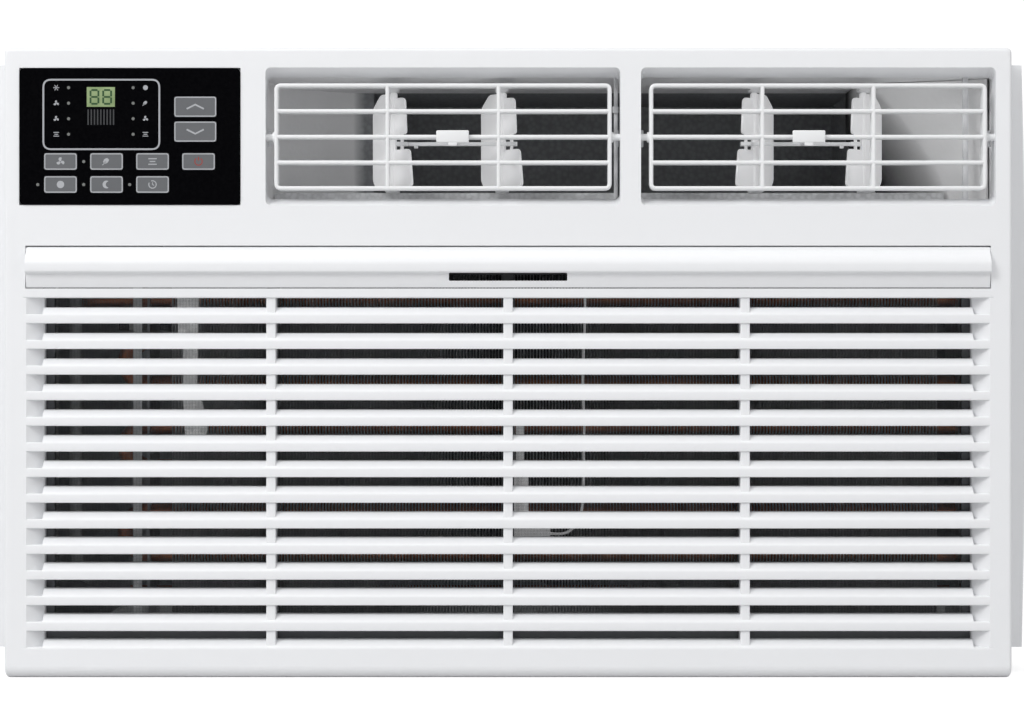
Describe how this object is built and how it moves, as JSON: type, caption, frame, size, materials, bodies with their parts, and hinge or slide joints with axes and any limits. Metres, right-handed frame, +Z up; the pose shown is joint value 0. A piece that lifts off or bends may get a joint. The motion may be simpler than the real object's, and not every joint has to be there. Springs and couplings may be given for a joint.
{
  "type": "window air conditioner",
  "caption": "Room air conditioner chassis with a slatted intake front, key panel, tilting louvers, lift-out filter, blower, fan, coils and compressor in a steel cabinet.",
  "frame": {"origin": "under the middle of the whole unit, on the surface that it stands on", "axes": "+Z up, the front faces -Y, +X to the right as seen from the room"},
  "size_m": [0.615, 0.516, 0.368],
  "materials": {
    "white_shell": "satin moulded white",
    "white_louver": "satin moulded white",
    "white_plastic": "satin",
    "black_gloss": "high gloss",
    "lens": "dark tinted gloss",
    "digits": "lit green digits",
    "lamp": "clear light guide",
    "board": "green solder mask",
    "switch": "black",
    "key_grey": "satin grey",
    "grey_plastic": "moulded grey",
    "foam_duct": "dense grey foam",
    "foam": "open foam strip",
    "foam_pan": "grey moulded pan",
    "fins": "thin bare fins",
    "zinc_steel": "zinc coated sheet",
    "copper": "drawn copper",
    "motor_paint": "dark grey paint",
    "black_paint": "black enamel",
    "black_plastic": "black moulded",
    "rubber": "matte",
    "bolt_steel": "zinc plated",
    "can": "drawn can",
    "sheath": "pale sleeve",
    "cabinet_paint": "light grey powder coat",
    "mesh": "fine woven black mesh"
  },
  "bodies": {
    "chassis": {"front_panel": "white_shell", "intake_grille": "white_shell", "control_bezel": "black_gloss", "display_lens": "lens", "led_display": "digits", "indicator_lamps": "lamp", "control_pcb": "board", "tact_switches": "switch", "control_housing": "grey_plastic", "air_outlet_duct": "foam_duct", "evaporator_fins": "fins", "coil_end_plates": "zinc_steel", "evaporator_tubes": "copper", "evaporator_seal": "foam", "drain_pan": "foam_pan", "room_thermistor": "white_plastic", "blower_scroll": "foam_duct", "fan_motor": "motor_paint", "motor_bracket": "zinc_steel", "bulkhead": "zinc_steel", "condenser_shroud": "black_plastic", "condenser_fins": "fins", "condenser_tubes": "copper", "compressor": "black_paint", "compressor_grommets": "rubber", "compressor_bolts": "bolt_steel", "refrigerant_tubes": "copper", "electrical_box": "zinc_steel", "run_capacitor": "can", "wire_harness": "sheath", "base_pan": "zinc_steel", "cabinet_wrap": "cabinet_paint", "rear_panel": "cabinet_paint", "cord_gland": "rubber", "cabinet_screws": "bolt_steel"},
    "button_fan_speed": {"key_fan_speed": "key_grey"},
    "button_energy_saver": {"key_energy_saver": "key_grey"},
    "button_mode": {"key_mode": "key_grey"},
    "button_power": {"key_power": "key_grey"},
    "button_filter_reset": {"key_filter_reset": "key_grey"},
    "button_sleep": {"key_sleep": "key_grey"},
    "button_timer": {"key_timer": "key_grey"},
    "button_up": {"key_up": "key_grey"},
    "button_down": {"key_down": "key_grey"},
    "louver_frame_left": {"louver_left": "white_louver"},
    "vane_body_left_a": {"vane_left_a": "white_louver"},
    "vane_body_left_b": {"vane_left_b": "white_louver"},
    "vane_link_left": {"link_rod_left": "white_louver", "vane_handle_left": "white_louver"},
    "louver_frame_right": {"louver_right": "white_louver"},
    "vane_body_right_a": {"vane_right_a": "white_louver"},
    "vane_body_right_b": {"vane_right_b": "white_louver"},
    "vane_link_right": {"link_rod_right": "white_louver", "vane_handle_right": "white_louver"},
    "door": {"filter_door": "white_shell"},
    "filter": {"filter_frame": "white_plastic", "filter_mesh": "mesh"},
    "fan_rotor": {"fan_shaft": "bolt_steel", "blower_wheel": "black_plastic", "condenser_fan": "black_plastic"}
  },
  "joints": [
    {"name": "press_fan_speed", "type": "slide", "parent": "chassis", "child": "button_fan_speed", "axis": [0, 1, 0], "range_m": [0, 0.0006], "stiffness_N_per_m": 1500},
    {"name": "press_energy_saver", "type": "slide", "parent": "chassis", "child": "button_energy_saver", "axis": [0, 1, 0], "range_m": [0, 0.0006], "stiffness_N_per_m": 1500},
    {"name": "press_mode", "type": "slide", "parent": "chassis", "child": "button_mode", "axis": [0, 1, 0], "range_m": [0, 0.0006], "stiffness_N_per_m": 1500},
    {"name": "press_power", "type": "slide", "parent": "chassis", "child": "button_power", "axis": [0, 1, 0], "range_m": [0, 0.0006], "stiffness_N_per_m": 1500},
    {"name": "press_filter_reset", "type": "slide", "parent": "chassis", "child": "button_filter_reset", "axis": [0, 1, 0], "range_m": [0, 0.0006], "stiffness_N_per_m": 1500},
    {"name": "press_sleep", "type": "slide", "parent": "chassis", "child": "button_sleep", "axis": [0, 1, 0], "range_m": [0, 0.0006], "stiffness_N_per_m": 1500},
    {"name": "press_timer", "type": "slide", "parent": "chassis", "child": "button_timer", "axis": [0, 1, 0], "range_m": [0, 0.0006], "stiffness_N_per_m": 1500},
    {"name": "press_up", "type": "slide", "parent": "chassis", "child": "button_up", "axis": [0, 1, 0], "range_m": [0, 0.0006], "stiffness_N_per_m": 1500},
    {"name": "press_down", "type": "slide", "parent": "chassis", "child": "button_down", "axis": [0, 1, 0], "range_m": [0, 0.0006], "stiffness_N_per_m": 1500},
    {"name": "tilt_louver_left", "type": "hinge", "parent": "chassis", "child": "louver_frame_left", "pos_m": [-0.038, -0.2475, 0.31605], "axis": [1, 0, 0], "range_deg": [-13, 13]},
    {"name": "slide_vane_handle_left", "type": "slide", "parent": "louver_frame_left", "child": "vane_link_left", "axis": [1, 0, 0], "range_m": [-0.01131, 0]},
    {"name": "turn_vane_left_a", "type": "hinge", "parent": "louver_frame_left", "child": "vane_body_left_a", "pos_m": [-0.06845, -0.225, 0.31605], "axis": [0, 0, 1], "range_deg": [-90.2, 0]},
    {"name": "turn_vane_left_b", "type": "hinge", "parent": "louver_frame_left", "child": "vane_body_left_b", "pos_m": [-0.00355, -0.225, 0.31605], "axis": [0, 0, 1], "range_deg": [-90.2, 0]},
    {"name": "tilt_louver_right", "type": "hinge", "parent": "chassis", "child": "louver_frame_right", "pos_m": [0.181, -0.2475, 0.31605], "axis": [1, 0, 0], "range_deg": [-13, 13]},
    {"name": "slide_vane_handle_right", "type": "slide", "parent": "louver_frame_right", "child": "vane_link_right", "axis": [1, 0, 0], "range_m": [0, 0.01131]},
    {"name": "turn_vane_right_a", "type": "hinge", "parent": "louver_frame_right", "child": "vane_body_right_a", "pos_m": [0.14655, -0.225, 0.31605], "axis": [0, 0, 1], "range_deg": [0, 90.2]},
    {"name": "turn_vane_right_b", "type": "hinge", "parent": "louver_frame_right", "child": "vane_body_right_b", "pos_m": [0.21145, -0.225, 0.31605], "axis": [0, 0, 1], "range_deg": [0, 90.2]},
    {"name": "open_filter_door", "type": "hinge", "parent": "chassis", "child": "door", "pos_m": [0, -0.251, 0.2499], "axis": [-1, 0, 0], "range_deg": [0, 68]},
    {"name": "lift_filter", "type": "slide", "parent": "chassis", "child": "filter", "axis": [0, 0, 1], "range_m": [0, 0.02]},
    {"name": "fan_spin", "type": "hinge", "parent": "chassis", "child": "fan_rotor", "pos_m": [0.06, 0, 0.165], "axis": [0, 1, 0], "continuous": true}
  ],
  "couplings": [
    {"joint": "turn_vane_left_a", "follows": "slide_vane_handle_left", "rad_per_m": 138.84},
    {"joint": "turn_vane_left_b", "follows": "slide_vane_handle_left", "rad_per_m": 138.84},
    {"joint": "turn_vane_right_a", "follows": "slide_vane_handle_right", "rad_per_m": 138.84},
    {"joint": "turn_vane_right_b", "follows": "slide_vane_handle_right", "rad_per_m": 138.84}
  ]
}
